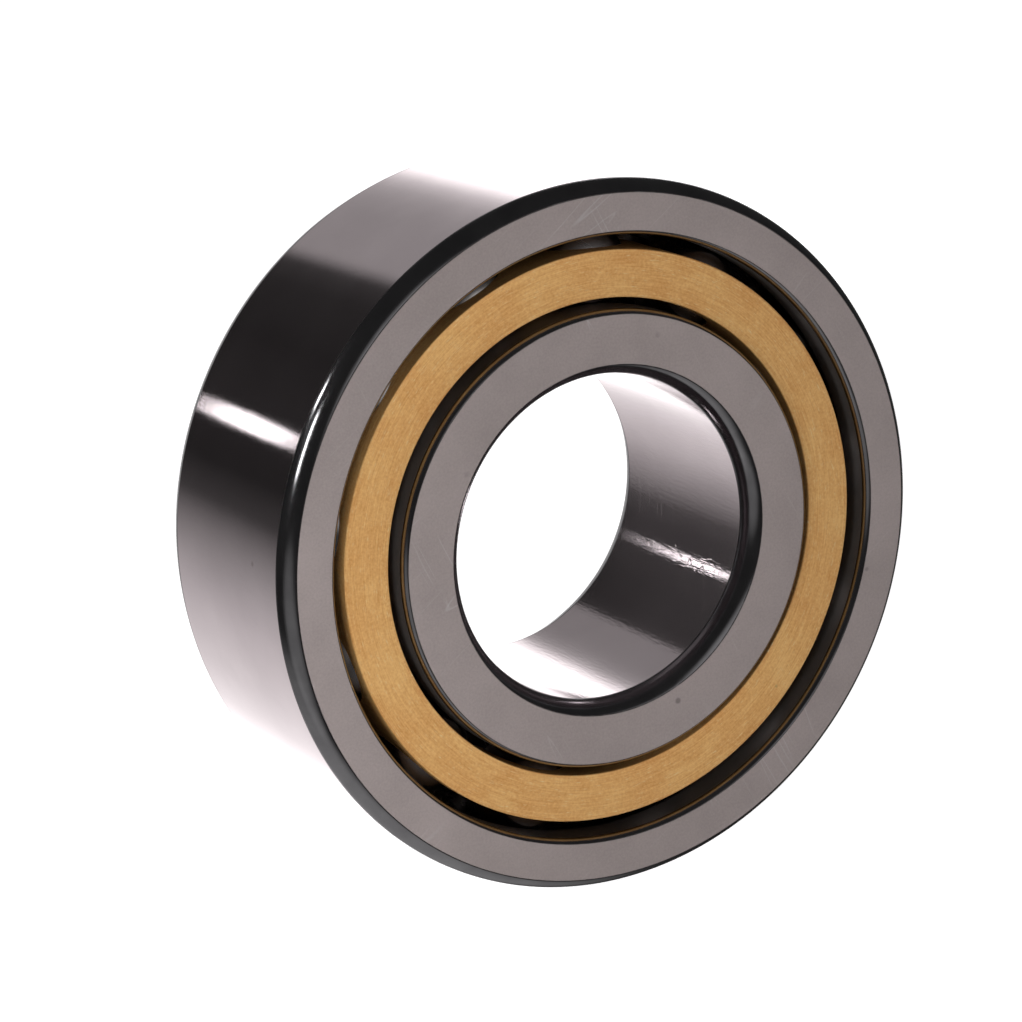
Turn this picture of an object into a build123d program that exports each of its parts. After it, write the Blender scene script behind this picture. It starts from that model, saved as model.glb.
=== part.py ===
from build123d import *
import math
import os

# Double-row angular contact ball bearing, open on both sides, rows back to back.
# Millimetres. Bearing axis along Y, origin at the bearing's centre, front row towards -Y, +Z up.

# Envelope
BORE_DIAMETER = 55.0
OUTSIDE_DIAMETER = 120.0
WIDTH = 43.0

# Rolling elements
BALL_DIAMETER = 16.669
PITCH_DIAMETER = 89.6
BALLS_PER_ROW = 13
ROW_OFFSET = 9.1            # ball centres, either side of the mid-plane
CONTACT_ANGLE = 30.0        # degrees from the radial plane
GROOVE_CONFORMITY = 0.52    # raceway groove radius over ball diameter
RACEWAY_CLEARANCE = 0.02    # gap left at each ball contact

# Outer ring
OUTER_CORNER_RADIAL = 2.0
OUTER_CORNER_AXIAL = 3.4
OUTER_CORNER_BULGE = 0.41       # height of the corner's arc over its chord
OUTER_FACE_INNER_RADIUS = 51.6
OUTER_SHOULDER_RADIUS = 50.9    # relieved shoulder, beside the side face
OUTER_RIB_RADIUS = 49.2         # high shoulder between the rows

# Inner ring
BORE_CORNER_RADIAL = 2.1
BORE_CORNER_AXIAL = 3.6
BORE_CORNER_BULGE = 0.44
INNER_FACE_OUTER_RADIUS = 38.0
INNER_SHOULDER_RADIUS = 38.7    # high shoulder, beside the side face
INNER_RIB_RADIUS = 38.2         # low shoulder between the rows

# Rounding where each shoulder meets its side face
SHOULDER_CORNER_AXIAL = 1.4
SHOULDER_CORNER_BULGE = 0.165

# Cages, one prong-type ring for each row
CAGE_INNER_RADIUS = 40.35
CAGE_OUTER_RADIUS = 48.35
CAGE_RECESS = 2.2               # from the ring faces to the cage face
CAGE_CHAMFER = 0.15
PRONG_OVERHANG = 3.8            # prong tips past the plane of the ball centres
POCKET_CLEARANCE = 0.08

HALF_WIDTH = WIDTH / 2
BALL_RADIUS = BALL_DIAMETER / 2
PITCH_RADIUS = PITCH_DIAMETER / 2
GROOVE_RADIUS = GROOVE_CONFORMITY * BALL_DIAMETER
BALL_PITCH = 360 / BALLS_PER_ROW

os.makedirs("parts", exist_ok=True)


def save(solid, name):
    solid.label = name
    export_step(solid, f"parts/{name}.step")


def groove(row, towards_axis):
    """The torus that a ring's raceway is ground to. row is -1 at the front and 1 at the rear."""
    shift = GROOVE_RADIUS - BALL_RADIUS - RACEWAY_CLEARANCE
    if towards_axis:
        shift = -shift
    angle = math.radians(CONTACT_ANGLE)
    radius = PITCH_RADIUS - shift * math.cos(angle)
    offset = row * (ROW_OFFSET + shift * math.sin(angle))
    return Pos(0, offset, 0) * Rot(90, 0, 0) * Torus(radius, GROOVE_RADIUS)


def whole_ring(half_profile):
    """Revolves the profile of a ring's rear half about the bearing axis and adds its mirror image."""
    half = revolve(half_profile, Axis.Y)
    return half + mirror(half, Plane.XZ)


def outer_ring():
    outside = OUTSIDE_DIAMETER / 2
    corner_y = HALF_WIDTH - OUTER_CORNER_AXIAL
    face_edge = outside - OUTER_CORNER_RADIAL
    shoulder_y = HALF_WIDTH - SHOULDER_CORNER_AXIAL
    outline = Line((outside, 0), (outside, corner_y))
    outline += SagittaArc((outside, corner_y), (face_edge, HALF_WIDTH), -OUTER_CORNER_BULGE)
    outline += Line((face_edge, HALF_WIDTH), (OUTER_FACE_INNER_RADIUS, HALF_WIDTH))
    outline += SagittaArc(
        (OUTER_FACE_INNER_RADIUS, HALF_WIDTH),
        (OUTER_SHOULDER_RADIUS, shoulder_y),
        -SHOULDER_CORNER_BULGE,
    )
    outline += Polyline(
        (OUTER_SHOULDER_RADIUS, shoulder_y),
        (OUTER_SHOULDER_RADIUS, ROW_OFFSET),
        (OUTER_RIB_RADIUS, ROW_OFFSET),
        (OUTER_RIB_RADIUS, 0),
        (outside, 0),
    )
    ring = whole_ring(make_face(outline))
    return ring - groove(-1, False) - groove(1, False)


def inner_ring():
    bore = BORE_DIAMETER / 2
    corner_y = HALF_WIDTH - BORE_CORNER_AXIAL
    face_edge = bore + BORE_CORNER_RADIAL
    shoulder_y = HALF_WIDTH - SHOULDER_CORNER_AXIAL
    outline = Line((bore, 0), (bore, corner_y))
    outline += SagittaArc((bore, corner_y), (face_edge, HALF_WIDTH), BORE_CORNER_BULGE)
    outline += Line((face_edge, HALF_WIDTH), (INNER_FACE_OUTER_RADIUS, HALF_WIDTH))
    outline += SagittaArc(
        (INNER_FACE_OUTER_RADIUS, HALF_WIDTH),
        (INNER_SHOULDER_RADIUS, shoulder_y),
        SHOULDER_CORNER_BULGE,
    )
    outline += Polyline(
        (INNER_SHOULDER_RADIUS, shoulder_y),
        (INNER_SHOULDER_RADIUS, ROW_OFFSET),
        (INNER_RIB_RADIUS, ROW_OFFSET),
        (INNER_RIB_RADIUS, 0),
        (bore, 0),
    )
    ring = whole_ring(make_face(outline))
    return ring - groove(-1, True) - groove(1, True)


def ball_place(row, index):
    """Where a ball sits, with its poles on the radial line and its seam towards the mid-plane.
    Each row has one ball at the top, so the two rows stand in line."""
    radial = Rot(0, -index * BALL_PITCH, 0) * Pos(0, 0, PITCH_RADIUS)
    return Pos(0, row * ROW_OFFSET, 0) * radial * Rot(0, 0, -90 * row)


def cage(row):
    face_y = HALF_WIDTH - CAGE_RECESS
    tip_y = ROW_OFFSET - PRONG_OVERHANG
    outline = Polyline(
        (CAGE_INNER_RADIUS, tip_y),
        (CAGE_OUTER_RADIUS, tip_y),
        (CAGE_OUTER_RADIUS, face_y - CAGE_CHAMFER),
        (CAGE_OUTER_RADIUS - CAGE_CHAMFER, face_y),
        (CAGE_INNER_RADIUS + CAGE_CHAMFER, face_y),
        (CAGE_INNER_RADIUS, face_y - CAGE_CHAMFER),
        close=True,
    )
    ring = revolve(make_face(outline), Axis.Y)
    if row < 0:
        ring = mirror(ring, Plane.XZ)
    pocket = Sphere(BALL_RADIUS + POCKET_CLEARANCE)
    for index in range(BALLS_PER_ROW):
        ring -= ball_place(row, index) * pocket
    return ring


save(outer_ring(), "outer_ring")
save(inner_ring(), "inner_ring")
for row, side in ((-1, "front"), (1, "rear")):
    save(cage(row), f"{side}_cage")
    for index in range(BALLS_PER_ROW):
        save(ball_place(row, index) * Sphere(BALL_RADIUS), f"{side}_ball_{index + 1:02d}")
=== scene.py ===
import math

import bmesh
import bpy
from mathutils import Matrix, Vector


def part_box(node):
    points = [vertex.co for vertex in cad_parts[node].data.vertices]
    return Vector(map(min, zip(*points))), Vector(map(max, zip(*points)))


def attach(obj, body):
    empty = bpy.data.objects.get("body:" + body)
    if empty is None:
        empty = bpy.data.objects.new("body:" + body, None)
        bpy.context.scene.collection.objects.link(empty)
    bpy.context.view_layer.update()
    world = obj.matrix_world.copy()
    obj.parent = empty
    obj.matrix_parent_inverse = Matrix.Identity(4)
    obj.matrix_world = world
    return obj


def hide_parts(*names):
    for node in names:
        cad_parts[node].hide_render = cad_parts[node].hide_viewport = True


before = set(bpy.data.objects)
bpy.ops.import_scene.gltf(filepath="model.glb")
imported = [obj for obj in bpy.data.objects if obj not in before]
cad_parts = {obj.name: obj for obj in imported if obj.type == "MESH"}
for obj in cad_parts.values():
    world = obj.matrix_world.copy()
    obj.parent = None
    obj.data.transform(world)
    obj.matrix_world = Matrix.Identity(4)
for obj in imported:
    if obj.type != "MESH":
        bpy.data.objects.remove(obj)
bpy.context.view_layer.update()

# Metres. Bearing axis along Y, front face towards -Y, +Z up.
MM = 0.001

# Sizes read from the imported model
OUTSIDE_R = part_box("outer_ring")[1].x
HALF_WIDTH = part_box("outer_ring")[1].y
CAGE_OUTER_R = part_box("front_cage")[1].x
CAGE_FACE_Y = -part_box("front_cage")[0].y
CAGE_TIP_Y = -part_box("front_cage")[1].y
BALL_R = (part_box("front_ball_01")[1].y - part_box("front_ball_01")[0].y) / 2

# Ring and cage shape, as in the CAD model
BORE_R = 27.5 * MM
OUTER_CORNER = (2.0 * MM, 3.4 * MM, 0.41 * MM)   # radial, axial, bulge
BORE_CORNER = (2.1 * MM, 3.6 * MM, 0.44 * MM)
SHOULDER_CORNER_Y = 1.4 * MM
SHOULDER_CORNER_BULGE = 0.165 * MM
OUTER_FACE_INNER_R = 51.6 * MM
OUTER_SHOULDER_R = 50.9 * MM
OUTER_RIB_R = 49.2 * MM
INNER_FACE_OUTER_R = 38.0 * MM
INNER_SHOULDER_R = 38.7 * MM
INNER_RIB_R = 38.2 * MM
CAGE_INNER_R = 40.35 * MM
CAGE_EDGE = 0.15 * MM
PITCH_R = 44.8 * MM
ROW_Y = 9.1 * MM
BALL_DIAMETER = 16.669 * MM
CONTACT_ANGLE = math.radians(30)
GROOVE_CONFORMITY = 0.52        # raceway groove radius over ball diameter
RACEWAY_CLEARANCE = 0.02 * MM
POCKET_CLEARANCE = 0.08 * MM
GROOVE_R = GROOVE_CONFORMITY * BALL_DIAMETER
GROOVE_SHIFT = GROOVE_R - BALL_DIAMETER / 2 - RACEWAY_CLEARANCE
POCKET_R = BALL_DIAMETER / 2 + POCKET_CLEARANCE
BALLS_PER_ROW = 13

# Camera, from the bearing's centre
CAMERA_AZIMUTH = -29.8      # degrees, negative is to the left of the front
CAMERA_ELEVATION = 13.7
CAMERA_DISTANCE = 0.7182
CAMERA_RIGHT = -0.0058      # the camera stands this far to the right of the line to the centre
CAMERA_UP = 0.0006
CAMERA_LENS = 149.85        # millimetres
SENSOR_WIDTH = 36

# What the steel mirrors. Rear sheet: (turn about the Y axis in degrees, brightness)
# Many stops began as a program's brightness readings of the photograph.
SHEET_TOP = 2.6
REAR_SHEET = (
    (-180, 0.022), (-167, 0.06), (-154, 0.29), (-140, 0.52), (-127, 0.72), (-104, 0.94), (-88, 1.2),
    (-76, 1.65), (-62, 2.6), (40, 2.6), (48, 1.7), (55, 0.82), (62, 0.52), (69, 0.42), (76, 0.38),
    (99, 0.36), (104, 0.05), (113, 0.03), (135, 0.022), (155, 0.028), (180, 0.022),
)
SHEET_EDGE = (39, 46)       # degrees from +Y: the sheet is full within the first, gone beyond the second
CORE_LIGHT = 0.6
CORE_EDGE = (15, 23)        # the even middle of the sheet, in the same way
DARK_LIGHT = 0.035
GLOWS = (   # towards, full within, gone beyond (degrees), brightness
    ((0.48, -0.82, -0.34), 20, 52, 0.25),
    ((-0.85, -0.2, -0.5), 10, 30, 0.25),
    ((-0.2, 0.25, -0.94), 20, 50, 0.4),
    ((-0.25, -0.85, 0.46), 10, 30, 0.45),
    ((0.3, -0.85, 0.43), 10, 30, 0.45),
    ((0.68, 0.68, -0.26), 6, 18, 0.3),
)

# Lamps: name, place (traced back from highlights in the photograph), size, power in watts
LAMPS = (
    ("rear_lamp", (-0.325, 0.506, 0.103), (0.032, 0.03), 0.013),
    ("left_lamp", (-0.649, 0.046, 0.230), (0.07, 0.18), 0.48),
    ("upper_left_lamp", (-0.522, 0.314, 0.324), (0.07, 0.07), 0.19),
)
FRONT_FILL = ("front_fill", (-0.16, -0.14, -0.055), (0.06, 0.06), 0.46)

FLOOR_SIZE = 6
FLOOR_LIGHT = 0.93

TURN_STEPS = 480            # facets round each ring
FINE = 0.10 * MM            # rounding of an edge that looks sharp
SHARP_ANGLE = math.radians(38)
BALL_SUBDIVISIONS = 5


# ---------------------------------------------------------------- node helpers

class Nodes:
    """A node tree, with short calls to add and join its nodes."""

    def __init__(self, tree):
        self.tree = tree
        self.tree.nodes.clear()

    def node(self, kind, inputs=None, **settings):
        made = self.tree.nodes.new(kind)
        for key, value in settings.items():
            setattr(made, key, value)
        for key, value in (inputs or {}).items():
            self.feed(made.inputs[key], value)
        return made

    def feed(self, socket, value):
        if isinstance(value, bpy.types.NodeSocket):
            self.tree.links.new(value, socket)
        else:
            socket.default_value = value

    def math(self, operation, a, b=0.0, c=0.0):
        return self.node("ShaderNodeMath", {0: a, 1: b, 2: c}, operation=operation).outputs[0]

    def within(self, cosine, full, gone):
        """1 where the angle is less than full degrees, falling smoothly to 0 at gone."""
        made = self.node("ShaderNodeMapRange", {"Value": cosine}, interpolation_type="SMOOTHSTEP")
        made.inputs["From Min"].default_value = math.cos(math.radians(gone))
        made.inputs["From Max"].default_value = math.cos(math.radians(full))
        return made.outputs["Result"]


class Shader(Nodes):
    """A material of one Principled shader, with the textures that the pieces share."""

    def __init__(self, name):
        self.material = bpy.data.materials.new(name)
        self.material.use_nodes = True
        super().__init__(self.material.node_tree)
        output = self.node("ShaderNodeOutputMaterial")
        self.bsdf = self.node("ShaderNodeBsdfPrincipled")
        self.feed(output.inputs["Surface"], self.bsdf.outputs["BSDF"])

    def noise(self, vector, scale, detail=2.0, roughness=0.5, seed=0.0):
        made = self.node("ShaderNodeTexNoise", noise_dimensions="4D")
        self.feed(made.inputs["Vector"], vector)
        made.inputs["W"].default_value = seed
        made.inputs["Scale"].default_value = scale
        made.inputs["Detail"].default_value = detail
        made.inputs["Roughness"].default_value = roughness
        return made.outputs["Fac"]

    def remap(self, value, low, high, to_low, to_high):
        made = self.node("ShaderNodeMapRange", {"Value": value})
        made.inputs["From Min"].default_value = low
        made.inputs["From Max"].default_value = high
        made.inputs["To Min"].default_value = to_low
        made.inputs["To Max"].default_value = to_high
        made.clamp = True
        return made.outputs["Result"]

    def mix(self, factor, a, b):
        made = self.node("ShaderNodeMix", data_type="RGBA")
        self.feed(made.inputs[0], factor)
        self.feed(made.inputs[6], a)
        self.feed(made.inputs[7], b)
        return made.outputs[2]

    def place(self):
        """Position in the piece's own frame, in metres."""
        return self.node("ShaderNodeTexCoord").outputs["Object"]

    def lathe(self, around, across):
        """A vector that varies slowly round the bearing's axis and quickly across the turning marks.
        around is how many noise cells fit one radian of turn, across how many fit a millimetre."""
        x, y, z = self.axes()
        radius = self.radius()
        unit_x = self.math("DIVIDE", x, radius)
        unit_z = self.math("DIVIDE", z, radius)
        depth = self.math("ADD", radius, y)
        made = self.node("ShaderNodeCombineXYZ")
        self.feed(made.inputs[0], self.math("MULTIPLY", unit_x, around))
        self.feed(made.inputs[1], self.math("MULTIPLY", depth, across / MM))
        self.feed(made.inputs[2], self.math("MULTIPLY", unit_z, around))
        return made.outputs[0]

    def axes(self):
        split = self.node("ShaderNodeSeparateXYZ", {0: self.place()})
        return split.outputs[0], split.outputs[1], split.outputs[2]

    def radius(self):
        x, _, z = self.axes()
        squares = self.math("ADD", self.math("MULTIPLY", x, x), self.math("MULTIPLY", z, z))
        return self.math("SQRT", squares)

    def scratches(self, scale, turn, width, seed):
        """Sparse fine lines: the thin level set of a stretched noise, kept where a second noise is high."""
        spun = self.node("ShaderNodeMapping", {"Vector": self.place()})
        spun.inputs["Rotation"].default_value = turn
        drawn = self.node("ShaderNodeVectorMath", {0: spun.outputs[0]}, operation="MULTIPLY")
        drawn.inputs[1].default_value = (scale, scale, scale * 0.06)
        field = self.noise(drawn.outputs[0], 1.0, 1.0, 0.4, seed)
        line = self.math("ABSOLUTE", self.math("SUBTRACT", field, 0.5))
        thin = self.remap(line, 0.0, width, 1.0, 0.0)
        keep = self.noise(self.place(), scale * 0.25, 1.0, 0.5, seed + 7)
        return self.math("MULTIPLY", thin, self.remap(keep, 0.56, 0.64, 0.0, 1.0))

    def specks(self, scale, seed, cut=0.14):
        """Small round pits and dust, one in a few cells."""
        made = self.node("ShaderNodeTexVoronoi", feature="F1", voronoi_dimensions="4D")
        self.feed(made.inputs["Vector"], self.place())
        made.inputs["Scale"].default_value = scale
        made.inputs["W"].default_value = seed
        near = self.remap(made.outputs["Distance"], cut * 0.6, cut, 1.0, 0.0)
        keep = self.noise(self.place(), scale * 0.2, 1.0, 0.5, seed + 3)
        return self.math("MULTIPLY", near, self.remap(keep, 0.6, 0.66, 0.0, 1.0))

    def bump(self, height, strength, distance, normal=None):
        made = self.node("ShaderNodeBump", {"Height": height})
        made.inputs["Strength"].default_value = strength
        made.inputs["Distance"].default_value = distance
        if normal is not None:
            self.feed(made.inputs["Normal"], normal)
        return made.outputs[0]

    def ring_tangent(self):
        return self.node("ShaderNodeTangent", direction_type="RADIAL", axis="Y").outputs[0]

    def finish(self, **sockets):
        for name, value in sockets.items():
            self.feed(self.bsdf.inputs[name.replace("_", " ")], value)
        return self.material


# ------------------------------------------------------------------- materials

def ground_face():
    """Flat-ground ring sides: an even satin grey with fine grain, faint lapping arcs and a few scratches."""
    s = Shader("ground_face")
    grain = s.noise(s.place(), 2600, 2.0, 0.6, 1.0)
    cloud = s.noise(s.place(), 70, 3.0, 0.55, 2.0)
    marks = s.noise(s.lathe(9, 5.0), 1.0, 2.0, 0.6, 3.0)
    scratch = s.math(
        "ADD", s.scratches(260, (0.0, 0.5, 0.0), 0.006, 4.0), s.scratches(180, (0.0, -0.9, 0.0), 0.005, 5.0)
    )
    speck = s.specks(210, 6.0)
    tone = s.math("MULTIPLY_ADD", grain, 0.5, s.math("MULTIPLY", cloud, 0.5))
    steel = s.mix(s.remap(tone, 0.36, 0.64, 0.0, 1.0), (0.40, 0.345, 0.335, 1), (0.50, 0.43, 0.42, 1))
    lit = s.mix(s.math("MULTIPLY", scratch, 0.45), steel, (0.62, 0.60, 0.60, 1))
    colour = s.mix(s.math("MULTIPLY", speck, 0.6), lit, (0.16, 0.14, 0.135, 1))
    rough = s.math("MULTIPLY_ADD", grain, 0.14, s.math("MULTIPLY_ADD", marks, 0.08, 0.37))
    cuts = s.math("MULTIPLY_ADD", marks, 0.5, s.math("MULTIPLY", scratch, -0.8))
    height = s.math("ADD", s.math("MULTIPLY", grain, 0.6), cuts)
    return s.finish(
        Base_Color=colour, Metallic=0.72, Roughness=rough, Normal=s.bump(height, 0.35, 0.00006)
    )


def ground_outside(name, wave, tint, metal):
    """Cylindrically ground steel: near mirror round the ring, with fine grinding lines across it.
    wave is how strongly the surface undulates, tint how much it reflects, metal how bare it is of oil."""
    s = Shader(name)
    lines = s.noise(s.lathe(22, 7.0), 1.0, 3.0, 0.65, 1.0)
    chatter = s.noise(s.lathe(60, 0.45), 1.0, 2.0, 0.5, 2.0)
    cloud = s.noise(s.place(), 60, 3.0, 0.55, 3.0)
    scratch = s.scratches(240, (0.3, 0.2, 0.4), 0.005, 4.0)
    speck = s.specks(150, 5.0, 0.12)
    steel = s.mix(s.remap(cloud, 0.3, 0.7, 0.0, 1.0), (0.58 * tint, 0.505 * tint, 0.525 * tint, 1),
                  (0.65 * tint, 0.57 * tint, 0.59 * tint, 1))
    colour = s.mix(s.math("MULTIPLY", speck, 0.5), steel, (0.25, 0.20, 0.18, 1))
    rough = s.math("MULTIPLY_ADD", lines, 0.07, s.math("MULTIPLY_ADD", cloud, 0.04, 0.02))
    fine = s.bump(lines, 0.16, 0.00002)
    broad = s.bump(s.math("MULTIPLY_ADD", scratch, -0.4, chatter), wave, 0.00003, fine)
    return s.finish(
        Base_Color=colour, Metallic=metal, Roughness=rough, Normal=broad,
        Anisotropic=0.6, Anisotropic_Rotation=0.25, Tangent=s.ring_tangent()
    )


def dark_corner():
    """Unground corners: dark hardened skin, tumbled glossy, with faint turning rings and nicks."""
    s = Shader("dark_corner")
    rings = s.noise(s.lathe(14, 3.2), 1.0, 2.0, 0.6, 1.0)
    cloud = s.noise(s.place(), 140, 3.0, 0.6, 2.0)
    nick = s.specks(320, 3.0, 0.16)
    skin = s.mix(s.remap(cloud, 0.3, 0.7, 0.0, 1.0), (0.25, 0.245, 0.255, 1), (0.34, 0.335, 0.345, 1))
    colour = s.mix(s.math("MULTIPLY", nick, 0.7), skin, (0.55, 0.55, 0.56, 1))
    rough = s.math("MULTIPLY_ADD", rings, 0.09, s.math("MULTIPLY_ADD", cloud, 0.07, 0.07))
    height = s.math("MULTIPLY_ADD", nick, -0.8, rings)
    return s.finish(
        Base_Color=colour, Metallic=1.0, Roughness=rough, Normal=s.bump(height, 0.22, 0.00003)
    )


def soft_edge():
    """The thin line where two finished surfaces meet, dark with a little wear."""
    s = Shader("soft_edge")
    rub = s.noise(s.lathe(16, 0.4), 1.0, 3.0, 0.6, 1.0)
    colour = s.mix(s.remap(rub, 0.5, 0.7, 0.0, 1.0), (0.10, 0.092, 0.092, 1), (0.20, 0.19, 0.19, 1))
    return s.finish(Base_Color=colour, Metallic=1.0, Roughness=s.remap(rub, 0.45, 0.7, 0.5, 0.36))


def satin_land():
    """Turned shoulders and the rib between the rows: dull dark grey, with soft rings from the tool."""
    s = Shader("satin_land")
    rings = s.noise(s.lathe(10, 3.6), 1.0, 3.0, 0.65, 1.0)
    cloud = s.noise(s.place(), 120, 3.0, 0.6, 2.0)
    colour = s.mix(s.remap(cloud, 0.3, 0.7, 0.0, 1.0), (0.24, 0.225, 0.222, 1), (0.31, 0.29, 0.285, 1))
    rough = s.math("MULTIPLY_ADD", rings, 0.12, 0.31)
    return s.finish(Base_Color=colour, Metallic=0.9, Roughness=rough, Normal=s.bump(rings, 0.3, 0.00004))


def raceway():
    """Ball grooves under old oil: a dim honed finish with very fine lines round the ring."""
    s = Shader("raceway")
    lines = s.noise(s.lathe(18, 9.0), 1.0, 2.0, 0.6, 1.0)
    cloud = s.noise(s.place(), 90, 2.0, 0.5, 2.0)
    colour = s.mix(s.remap(cloud, 0.3, 0.7, 0.0, 1.0), (0.33, 0.31, 0.305, 1), (0.40, 0.375, 0.37, 1))
    rough = s.math("MULTIPLY_ADD", lines, 0.08, 0.24)
    return s.finish(
        Base_Color=colour, Metallic=1.0, Roughness=rough, Normal=s.bump(lines, 0.10, 0.00002)
    )


def turned_brass():
    """Machined cage: fine rings from the facing tool, short streaks of painted highlight made paler in
    colour, warm patches and dark pores.
    """
    s = Shader("turned_brass")
    rings = s.noise(s.lathe(7, 4.2), 1.0, 3.0, 0.7, 1.0)
    glint_streak = s.noise(s.lathe(30, 5.5), 1.0, 2.0, 0.6, 2.0)
    grain = s.noise(s.place(), 2400, 2.0, 0.6, 3.0)
    cloud = s.noise(s.place(), 95, 3.0, 0.6, 4.0)
    pore = s.specks(330, 5.0, 0.15)
    mixed = s.math("MULTIPLY_ADD", grain, 0.3, s.math("MULTIPLY", cloud, 0.28))
    mixed = s.math("MULTIPLY_ADD", rings, 0.42, mixed)
    brass = s.mix(s.remap(mixed, 0.41, 0.59, 0.0, 1.0), (0.80, 0.38, 0.12, 1), (1.0, 0.61, 0.235, 1))
    # Painted highlight: short streaks along the turning are mixed towards pale brass, standing in for the
    # sheen of the turning marks.
    painted_glints = s.mix(s.remap(glint_streak, 0.60, 0.70, 0.0, 0.7), brass, (1.0, 0.78, 0.42, 1))
    colour = s.mix(s.math("MULTIPLY", pore, 0.7), painted_glints, (0.22, 0.11, 0.035, 1))
    rough = s.math("MULTIPLY_ADD", grain, 0.10, s.math("MULTIPLY_ADD", rings, 0.12, 0.24))
    height = s.math("MULTIPLY_ADD", grain, 0.35, s.math("MULTIPLY", glint_streak, 0.3))
    height = s.math("ADD", rings, height)
    return s.finish(
        Base_Color=colour, Metallic=0.7, Roughness=rough, Normal=s.bump(height, 0.40, 0.00005),
        Anisotropic=0.6, Anisotropic_Rotation=0.25, Tangent=s.ring_tangent()
    )


def ball_steel():
    """Bearing balls under a film of oil: grey, softly glossy, with a haze and hairline marks."""
    s = Shader("ball_steel")
    haze = s.noise(s.place(), 180, 3.0, 0.6, 1.0)
    scratch = s.scratches(420, (0.4, 0.7, 0.1), 0.004, 2.0)
    colour = s.mix(s.remap(haze, 0.35, 0.65, 0.0, 1.0), (0.40, 0.385, 0.38, 1), (0.49, 0.47, 0.465, 1))
    rough = s.math("MULTIPLY_ADD", haze, 0.12, s.math("MULTIPLY_ADD", scratch, 0.12, 0.19))
    return s.finish(
        Base_Color=colour, Metallic=1.0, Roughness=rough, Normal=s.bump(scratch, 0.05, 0.00001)
    )


# --------------------------------------------------------------------- profiles

def bulged_corner(start, end, bulge, steps=18):
    """Points on the arc from start to end that stands bulge proud of its chord, on the right of travel."""
    (r0, y0), (r1, y1) = start, end
    chord = math.hypot(r1 - r0, y1 - y0)
    radius = (chord * chord / 4 + bulge * bulge) / (2 * bulge)
    half = math.asin(chord / 2 / radius)
    out = ((y1 - y0) / chord, -(r1 - r0) / chord)
    along = ((r1 - r0) / chord, (y1 - y0) / chord)
    drop = radius * math.cos(half)
    middle = ((r0 + r1) / 2 - out[0] * drop, (y0 + y1) / 2 - out[1] * drop)
    points = []
    for step in range(steps + 1):
        turn = half * (2 * step / steps - 1)
        reach = (radius * math.sin(turn), radius * math.cos(turn))
        points.append((
            middle[0] + along[0] * reach[0] + out[0] * reach[1],
            middle[1] + along[1] * reach[0] + out[1] * reach[1],
        ))
    return points


def groove_points(towards_axis, from_r, to_r, steps=40):
    """The rear row's raceway in section, from the shoulder near the side face to the rib in the middle."""
    shift = -GROOVE_SHIFT if towards_axis else GROOVE_SHIFT
    centre_r = PITCH_R - shift * math.cos(CONTACT_ANGLE)
    centre_y = ROW_Y + shift * math.sin(CONTACT_ANGLE)
    first = math.acos((from_r - centre_r) / GROOVE_R)
    last = -math.acos((to_r - centre_r) / GROOVE_R)
    if towards_axis:
        last += 2 * math.pi
    points = []
    for step in range(steps + 1):
        turn = first + (last - first) * step / steps
        points.append((centre_r + GROOVE_R * math.cos(turn), centre_y + GROOVE_R * math.sin(turn)))
    return points


def step_in(end, inner):
    """The end of a run, moved a hair towards the run's next point."""
    way = inner - end
    return end + way.normalized() * min(FINE, way.length * 0.4)


def round_edges(runs):
    """Joins runs of (zone, points) end to end and rounds each joint by a hair, in a zone of its own."""
    joined = []
    for zone, points in runs:
        points = [Vector(point) for point in points]
        points[0] = step_in(points[0], points[1])
        points[-1] = step_in(points[-1], points[-2])
        joined.append((zone, points))
    loop = []
    for index, (zone, points) in enumerate(joined):
        corner = Vector(runs[index][1][-1])
        after = joined[(index + 1) % len(joined)][1][0]
        for point in points[:-1]:
            loop.append((point, zone))
        loop.append((points[-1], "edge"))
        for part in (0.25, 0.5, 0.75):
            bend = points[-1] * (1 - part) ** 2 + corner * 2 * part * (1 - part) + after * part ** 2
            loop.append((bend, "edge"))
    return loop


def mirrored(half):
    """The whole closed profile from its rear half, which starts and ends on the mid-plane."""
    front = [(zone, [(r, -y) for r, y in reversed(points)]) for zone, points in reversed(half)]
    (zone_out, out), (zone_in, inner) = half[0], half[-1]
    middle = list(half[1:-1])
    whole_out = (zone_out, front[-1][1][:-1] + out)
    whole_in = (zone_in, inner + front[0][1][1:])
    return [whole_out] + middle + [whole_in] + front[1:-1]


def outer_ring_profile():
    radial, axial, bulge = OUTER_CORNER
    face_r = OUTSIDE_R - radial
    shoulder_end = (OUTER_SHOULDER_R, HALF_WIDTH - SHOULDER_CORNER_Y)
    shoulder = bulged_corner((OUTER_FACE_INNER_R, HALF_WIDTH), shoulder_end, SHOULDER_CORNER_BULGE)
    groove = groove_points(False, OUTER_SHOULDER_R, OUTER_RIB_R)
    return mirrored([
        ("outside", [(OUTSIDE_R, 0), (OUTSIDE_R, HALF_WIDTH - axial)]),
        ("corner", bulged_corner((OUTSIDE_R, HALF_WIDTH - axial), (face_r, HALF_WIDTH), bulge)),
        ("face", [(face_r, HALF_WIDTH), (OUTER_FACE_INNER_R, HALF_WIDTH)]),
        ("corner", shoulder),
        ("land", [shoulder[-1], groove[0]]),
        ("raceway", groove),
        ("land", [groove[-1], (OUTER_RIB_R, 0)]),
    ])


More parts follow.
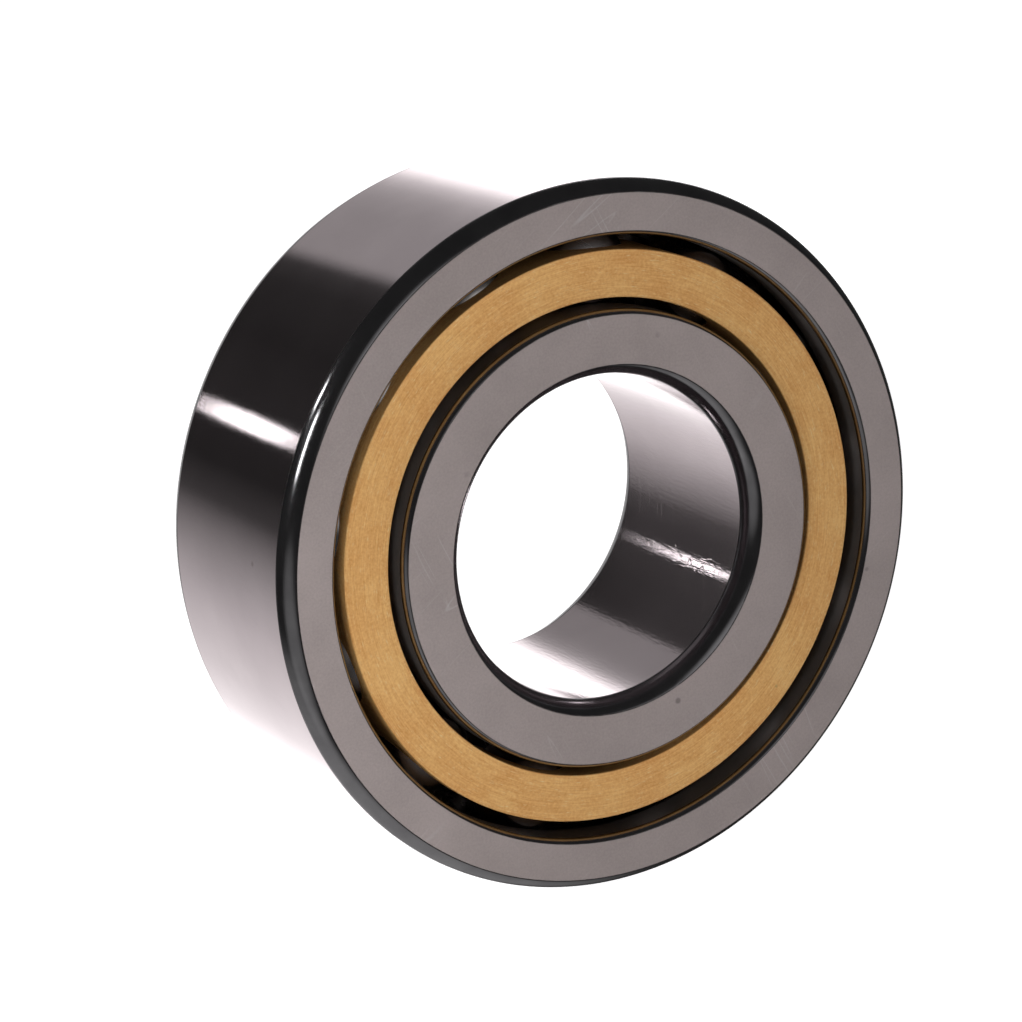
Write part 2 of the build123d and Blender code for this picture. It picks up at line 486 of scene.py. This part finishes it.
def inner_ring_profile():
    radial, axial, bulge = BORE_CORNER
    face_r = BORE_R + radial
    shoulder_end = (INNER_SHOULDER_R, HALF_WIDTH - SHOULDER_CORNER_Y)
    shoulder = bulged_corner(shoulder_end, (INNER_FACE_OUTER_R, HALF_WIDTH), SHOULDER_CORNER_BULGE)
    groove = groove_points(True, INNER_SHOULDER_R, INNER_RIB_R)
    groove.reverse()
    return mirrored([
        ("land", [(INNER_RIB_R, 0), groove[0]]),
        ("raceway", groove),
        ("land", [groove[-1], shoulder[0]]),
        ("corner", shoulder),
        ("face", [(INNER_FACE_OUTER_R, HALF_WIDTH), (face_r, HALF_WIDTH)]),
        ("corner", bulged_corner((face_r, HALF_WIDTH), (BORE_R, HALF_WIDTH - axial), bulge)),
        ("bore", [(BORE_R, HALF_WIDTH - axial), (BORE_R, 0)]),
    ])


def cage_profile():
    """The rear cage before its pockets are cut."""
    return [
        ("brass", [(CAGE_OUTER_R, CAGE_TIP_Y), (CAGE_OUTER_R, CAGE_FACE_Y - CAGE_EDGE)]),
        ("brass", [(CAGE_OUTER_R, CAGE_FACE_Y - CAGE_EDGE), (CAGE_OUTER_R - CAGE_EDGE, CAGE_FACE_Y)]),
        ("brass", [(CAGE_OUTER_R - CAGE_EDGE, CAGE_FACE_Y), (CAGE_INNER_R + CAGE_EDGE, CAGE_FACE_Y)]),
        ("brass", [(CAGE_INNER_R + CAGE_EDGE, CAGE_FACE_Y), (CAGE_INNER_R, CAGE_FACE_Y - CAGE_EDGE)]),
        ("brass", [(CAGE_INNER_R, CAGE_FACE_Y - CAGE_EDGE), (CAGE_INNER_R, CAGE_TIP_Y)]),
        ("brass", [(CAGE_INNER_R, CAGE_TIP_Y), (CAGE_OUTER_R, CAGE_TIP_Y)]),
    ]


# ----------------------------------------------------------------------- pieces

def turned_piece(name, runs, slots):
    """Turns a closed profile of (zone, points) runs round the Y axis. slots maps each zone to a material."""
    loop = round_edges(runs)
    materials = list(dict.fromkeys(slots.values()))
    mesh = bpy.data.meshes.new(name)
    made = bmesh.new()
    rings = []
    for step in range(TURN_STEPS):
        turn = 2 * math.pi * step / TURN_STEPS
        rings.append([
            made.verts.new((point.x * math.cos(turn), point.y, point.x * math.sin(turn))) for point, _ in loop
        ])
    for step in range(TURN_STEPS):
        here, there = rings[step], rings[(step + 1) % TURN_STEPS]
        for index, (_, zone) in enumerate(loop):
            after = (index + 1) % len(loop)
            face = made.faces.new((here[index], here[after], there[after], there[index]))
            face.material_index = materials.index(slots[zone])
            face.smooth = True
    bmesh.ops.recalc_face_normals(made, faces=made.faces)
    made.to_mesh(mesh)
    made.free()
    for material in materials:
        mesh.materials.append(material)
    piece = bpy.data.objects.new(name, mesh)
    bpy.context.scene.collection.objects.link(piece)
    return piece


def stand_for(piece, node):
    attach(piece, node)
    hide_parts(node)


def ball_centre(side, index):
    low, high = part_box(f"{side}_ball_{index + 1:02d}")
    return (low + high) / 2


def ball_piece(name, centre, material):
    made = bmesh.new()
    bmesh.ops.create_icosphere(made, subdivisions=BALL_SUBDIVISIONS, radius=BALL_R)
    bmesh.ops.translate(made, verts=made.verts, vec=centre)
    for face in made.faces:
        face.smooth = True
    mesh = bpy.data.meshes.new(name)
    made.to_mesh(mesh)
    made.free()
    mesh.materials.append(material)
    piece = bpy.data.objects.new(name, mesh)
    bpy.context.scene.collection.objects.link(piece)
    return piece


def cut_pockets(cage, side):
    """Cuts the spherical pockets, open towards the middle of the bearing."""
    made = bmesh.new()
    for index in range(BALLS_PER_ROW):
        place = Matrix.Translation(ball_centre(side, index))
        bmesh.ops.create_icosphere(made, subdivisions=BALL_SUBDIVISIONS, radius=POCKET_R, matrix=place)
    for face in made.faces:
        face.smooth = True
    mesh = bpy.data.meshes.new("pocket_cutter")
    made.to_mesh(mesh)
    made.free()
    cutter = bpy.data.objects.new("pocket_cutter", mesh)
    bpy.context.scene.collection.objects.link(cutter)
    cut = cage.modifiers.new("pockets", "BOOLEAN")
    cut.operation = "DIFFERENCE"
    cut.solver = "EXACT"
    cut.object = cutter
    bpy.context.view_layer.update()
    seen = cage.evaluated_get(bpy.context.evaluated_depsgraph_get())
    cage.data = bpy.data.meshes.new_from_object(seen)
    cage.modifiers.clear()
    bpy.data.objects.remove(cutter)
    cage.data.set_sharp_from_angle(angle=SHARP_ANGLE)


def build_pieces():
    face, corner, edge = ground_face(), dark_corner(), soft_edge()
    race, land = raceway(), satin_land()
    outside = ground_outside("ground_outside", 0.07, 1.0, 1.0)
    bore = ground_outside("ground_bore", 0.55, 0.81, 0.9)
    brass, ball = turned_brass(), ball_steel()
    shared = {"face": face, "corner": corner, "edge": edge, "land": land, "raceway": race}

    outer = turned_piece("outer_ring_finish", outer_ring_profile(), {**shared, "outside": outside})
    stand_for(outer, "outer_ring")
    inner = turned_piece("inner_ring_finish", inner_ring_profile(), {**shared, "bore": bore})
    stand_for(inner, "inner_ring")

    for side, sign in (("front", -1), ("rear", 1)):
        runs = cage_profile()
        if sign < 0:
            runs = [(zone, [(r, -y) for r, y in reversed(points)]) for zone, points in reversed(runs)]
        cage = turned_piece(f"{side}_cage_finish", runs, {"brass": brass, "edge": brass})
        cut_pockets(cage, side)
        stand_for(cage, f"{side}_cage")
        for index in range(BALLS_PER_ROW):
            node = f"{side}_ball_{index + 1:02d}"
            stand_for(ball_piece(f"{node}_finish", ball_centre(side, index), ball), node)


# ------------------------------------------------------------------------ stage

def build_floor():
    """A pale, evenly lit table. It isn't mirrored in the steel, as a lit sheet far below wouldn't be."""
    bpy.ops.mesh.primitive_plane_add(size=FLOOR_SIZE, location=(0, 0, -OUTSIDE_R))
    floor = bpy.context.object
    floor.name = "pale_floor"
    s = Shader("pale_floor")
    s.finish(
        Base_Color=(0.8, 0.8, 0.8, 1), Roughness=0.9,
        Emission_Color=(1, 1, 1, 1), Emission_Strength=FLOOR_LIGHT
    )
    floor.data.materials.append(s.material)
    floor.visible_glossy = False


def build_world():
    """White to the camera. What the steel mirrors is a dark studio with a soft sheet and a few dim glows.
    The sheet is a ring about the +Y direction, whose brightness goes round with the angle."""
    world = bpy.data.worlds.new("studio")
    bpy.context.scene.world = world
    world.use_nodes = True
    n = Nodes(world.node_tree)
    direction = n.node("ShaderNodeTexCoord").outputs["Generated"]
    split = n.node("ShaderNodeSeparateXYZ", {0: direction})
    x, y, z = split.outputs[0], split.outputs[1], split.outputs[2]

    ramp = n.node("ShaderNodeValToRGB")
    n.feed(ramp.inputs[0], n.math("MULTIPLY_ADD", n.math("ARCTAN2", z, x), 0.5 / math.pi, 0.5))
    stops = ramp.color_ramp.elements
    stops.remove(stops[1])
    for index, (angle, light) in enumerate(REAR_SHEET):
        place = angle / 360 + 0.5
        stop = stops[0] if index == 0 else stops.new(place)
        stop.position = place
        stop.color = (light / SHEET_TOP,) * 3 + (1,)
    pattern = n.math("MULTIPLY", ramp.outputs[0], SHEET_TOP)

    outer_fade = n.within(y, *SHEET_EDGE)
    core_fade = n.within(y, *CORE_EDGE)
    ring = n.math("ADD", n.math("MULTIPLY", pattern, n.math("SUBTRACT", 1.0, core_fade)),
                  n.math("MULTIPLY", core_fade, CORE_LIGHT))
    dark = n.math("MULTIPLY", n.math("SUBTRACT", 1.0, outer_fade), DARK_LIGHT)
    level = n.math("ADD", n.math("MULTIPLY", ring, outer_fade), dark)
    for aim, inner, outer, light in GLOWS:
        toward = n.node("ShaderNodeVectorMath", {0: direction}, operation="DOT_PRODUCT")
        toward.inputs[1].default_value = Vector(aim).normalized()
        spread = n.within(toward.outputs["Value"], inner, outer)
        level = n.math("MULTIPLY_ADD", spread, light, level)

    mirrored_light = n.node("ShaderNodeBackground", {"Strength": level, "Color": (1.0, 0.985, 0.985, 1)})
    white = n.node("ShaderNodeBackground", {"Strength": 1.0})
    choose = n.node("ShaderNodeMixShader", {
        0: n.node("ShaderNodeLightPath").outputs["Is Camera Ray"],
        1: mirrored_light.outputs[0],
        2: white.outputs[0],
    })
    n.node("ShaderNodeOutputWorld", {"Surface": choose.outputs[0]})


def area_light(name, place, size, power):
    data = bpy.data.lights.new(name, "AREA")
    data.shape = "RECTANGLE"
    data.size, data.size_y = size
    data.energy = power
    lamp = bpy.data.objects.new(name, data)
    bpy.context.scene.collection.objects.link(lamp)
    lamp.location = place
    lamp.rotation_euler = (-Vector(place)).to_track_quat("-Z", "Y").to_euler()
    lamp.visible_camera = False
    return lamp


def build_lights():
    for name, place, size, power in LAMPS:
        area_light(name, place, size, power)
    fill = area_light(*FRONT_FILL)
    fill.visible_glossy = False


def build_camera():
    azimuth, elevation = math.radians(CAMERA_AZIMUTH), math.radians(CAMERA_ELEVATION)
    back = Vector((
        math.sin(azimuth) * math.cos(elevation),
        -math.cos(azimuth) * math.cos(elevation),
        math.sin(elevation),
    ))
    right = Vector((math.cos(azimuth), math.sin(azimuth), 0))
    up = back.cross(right)
    data = bpy.data.cameras.new("camera")
    data.lens = CAMERA_LENS
    data.sensor_width = SENSOR_WIDTH
    data.clip_start, data.clip_end = 0.05, 20
    camera = bpy.data.objects.new("camera", data)
    bpy.context.scene.collection.objects.link(camera)
    camera.location = back * CAMERA_DISTANCE + right * CAMERA_RIGHT + up * CAMERA_UP
    camera.rotation_mode = "QUATERNION"
    camera.rotation_quaternion = (-back).to_track_quat("-Z", "Y")
    bpy.context.scene.camera = camera


build_pieces()
build_floor()
build_world()
build_lights()
build_camera()
bpy.context.scene.view_settings.view_transform = "Standard"
